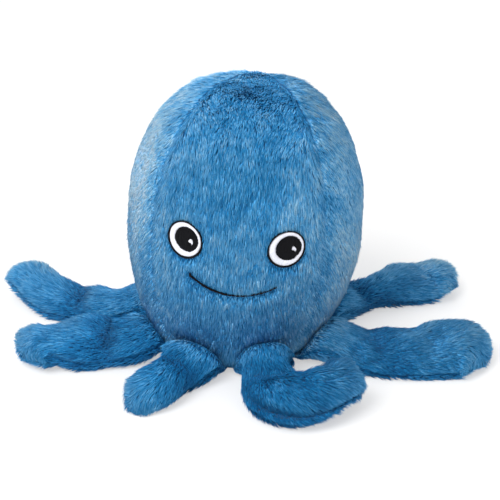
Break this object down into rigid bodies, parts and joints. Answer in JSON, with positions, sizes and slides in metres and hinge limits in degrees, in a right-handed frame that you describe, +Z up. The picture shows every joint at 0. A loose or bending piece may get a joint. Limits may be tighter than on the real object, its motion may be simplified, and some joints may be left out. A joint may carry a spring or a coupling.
{
  "type": "plush octopus",
  "caption": "Soft toy octopus with a round stuffed head, an embroidered smiling face and flat floppy arms sewn round its base.",
  "frame": {"origin": "centre of the underside of the flat base panel, on the surface that the toy sits on", "axes": "+Z up, the face towards -Y (turned about 5 degrees to the viewer's left), +X to the right of someone facing the toy"},
  "size_m": [0.3366, 0.2939, 0.1843],
  "materials": {
    "blue_plush": "long silky knitted pile, mid blue, lying down the head and along the arms",
    "fibre_filling": "white polyester fibre filling",
    "black_thread": "black satin stitch embroidery",
    "white_thread": "white satin stitch embroidery"
  },
  "bodies": {
    "head": {"head_front_panel": "blue_plush", "head_right_panel": "blue_plush", "head_back_panel": "blue_plush", "head_left_panel": "blue_plush", "head_stuffing": "fibre_filling", "head_base_panel": "blue_plush", "left_eye_outline": "black_thread", "left_eye_white": "white_thread", "left_eye_pupil": "black_thread", "left_eye_highlight": "white_thread", "right_eye_outline": "black_thread", "right_eye_white": "white_thread", "right_eye_pupil": "black_thread", "right_eye_highlight": "white_thread", "smile": "black_thread"},
    "front_right_arm": {"front_right_arm_upper_cover": "blue_plush", "front_right_arm_lower_cover": "blue_plush", "front_right_arm_filling": "fibre_filling"},
    "right_front_arm": {"right_front_arm_upper_cover": "blue_plush", "right_front_arm_lower_cover": "blue_plush", "right_front_arm_filling": "fibre_filling"},
    "right_back_arm": {"right_back_arm_upper_cover": "blue_plush", "right_back_arm_lower_cover": "blue_plush", "right_back_arm_filling": "fibre_filling"},
    "back_right_arm": {"back_right_arm_upper_cover": "blue_plush", "back_right_arm_lower_cover": "blue_plush", "back_right_arm_filling": "fibre_filling"},
    "back_left_arm": {"back_left_arm_upper_cover": "blue_plush", "back_left_arm_lower_cover": "blue_plush", "back_left_arm_filling": "fibre_filling"},
    "left_back_arm": {"left_back_arm_upper_cover": "blue_plush", "left_back_arm_lower_cover": "blue_plush", "left_back_arm_filling": "fibre_filling"},
    "left_front_arm": {"left_front_arm_upper_cover": "blue_plush", "left_front_arm_lower_cover": "blue_plush", "left_front_arm_filling": "fibre_filling"},
    "front_left_arm": {"front_left_arm_upper_cover": "blue_plush", "front_left_arm_lower_cover": "blue_plush", "front_left_arm_filling": "fibre_filling"}
  },
  "joints": [
    {"name": "front_right_arm_lift", "type": "hinge", "parent": "head", "child": "front_right_arm", "pos_m": [0.0152, -0.04973, 0.0047], "axis": [-0.9563, -0.2924, 0], "range_deg": [-60, 28]},
    {"name": "right_front_arm_lift", "type": "hinge", "parent": "head", "child": "right_front_arm", "pos_m": [0.04591, -0.02441, 0.0047], "axis": [-0.4695, -0.8829, 0], "range_deg": [-60, 28]},
    {"name": "right_back_arm_lift", "type": "hinge", "parent": "head", "child": "right_back_arm", "pos_m": [0.04973, 0.0152, 0.0047], "axis": [0.2924, -0.9563, 0], "range_deg": [-60, 28]},
    {"name": "back_right_arm_lift", "type": "hinge", "parent": "head", "child": "back_right_arm", "pos_m": [0.02441, 0.04591, 0.0047], "axis": [0.8829, -0.4695, 0], "range_deg": [-60, 28]},
    {"name": "back_left_arm_lift", "type": "hinge", "parent": "head", "child": "back_left_arm", "pos_m": [-0.0152, 0.04973, 0.0047], "axis": [0.9563, 0.2924, 0], "range_deg": [-60, 28]},
    {"name": "left_back_arm_lift", "type": "hinge", "parent": "head", "child": "left_back_arm", "pos_m": [-0.04591, 0.02441, 0.0047], "axis": [0.4695, 0.8829, 0], "range_deg": [-60, 28]},
    {"name": "left_front_arm_lift", "type": "hinge", "parent": "head", "child": "left_front_arm", "pos_m": [-0.04973, -0.0152, 0.0047], "axis": [-0.2924, 0.9563, 0], "range_deg": [-60, 28]},
    {"name": "front_left_arm_lift", "type": "hinge", "parent": "head", "child": "front_left_arm", "pos_m": [-0.02441, -0.04591, 0.0047], "axis": [-0.8829, 0.4695, 0], "range_deg": [-60, 28]}
  ]
}
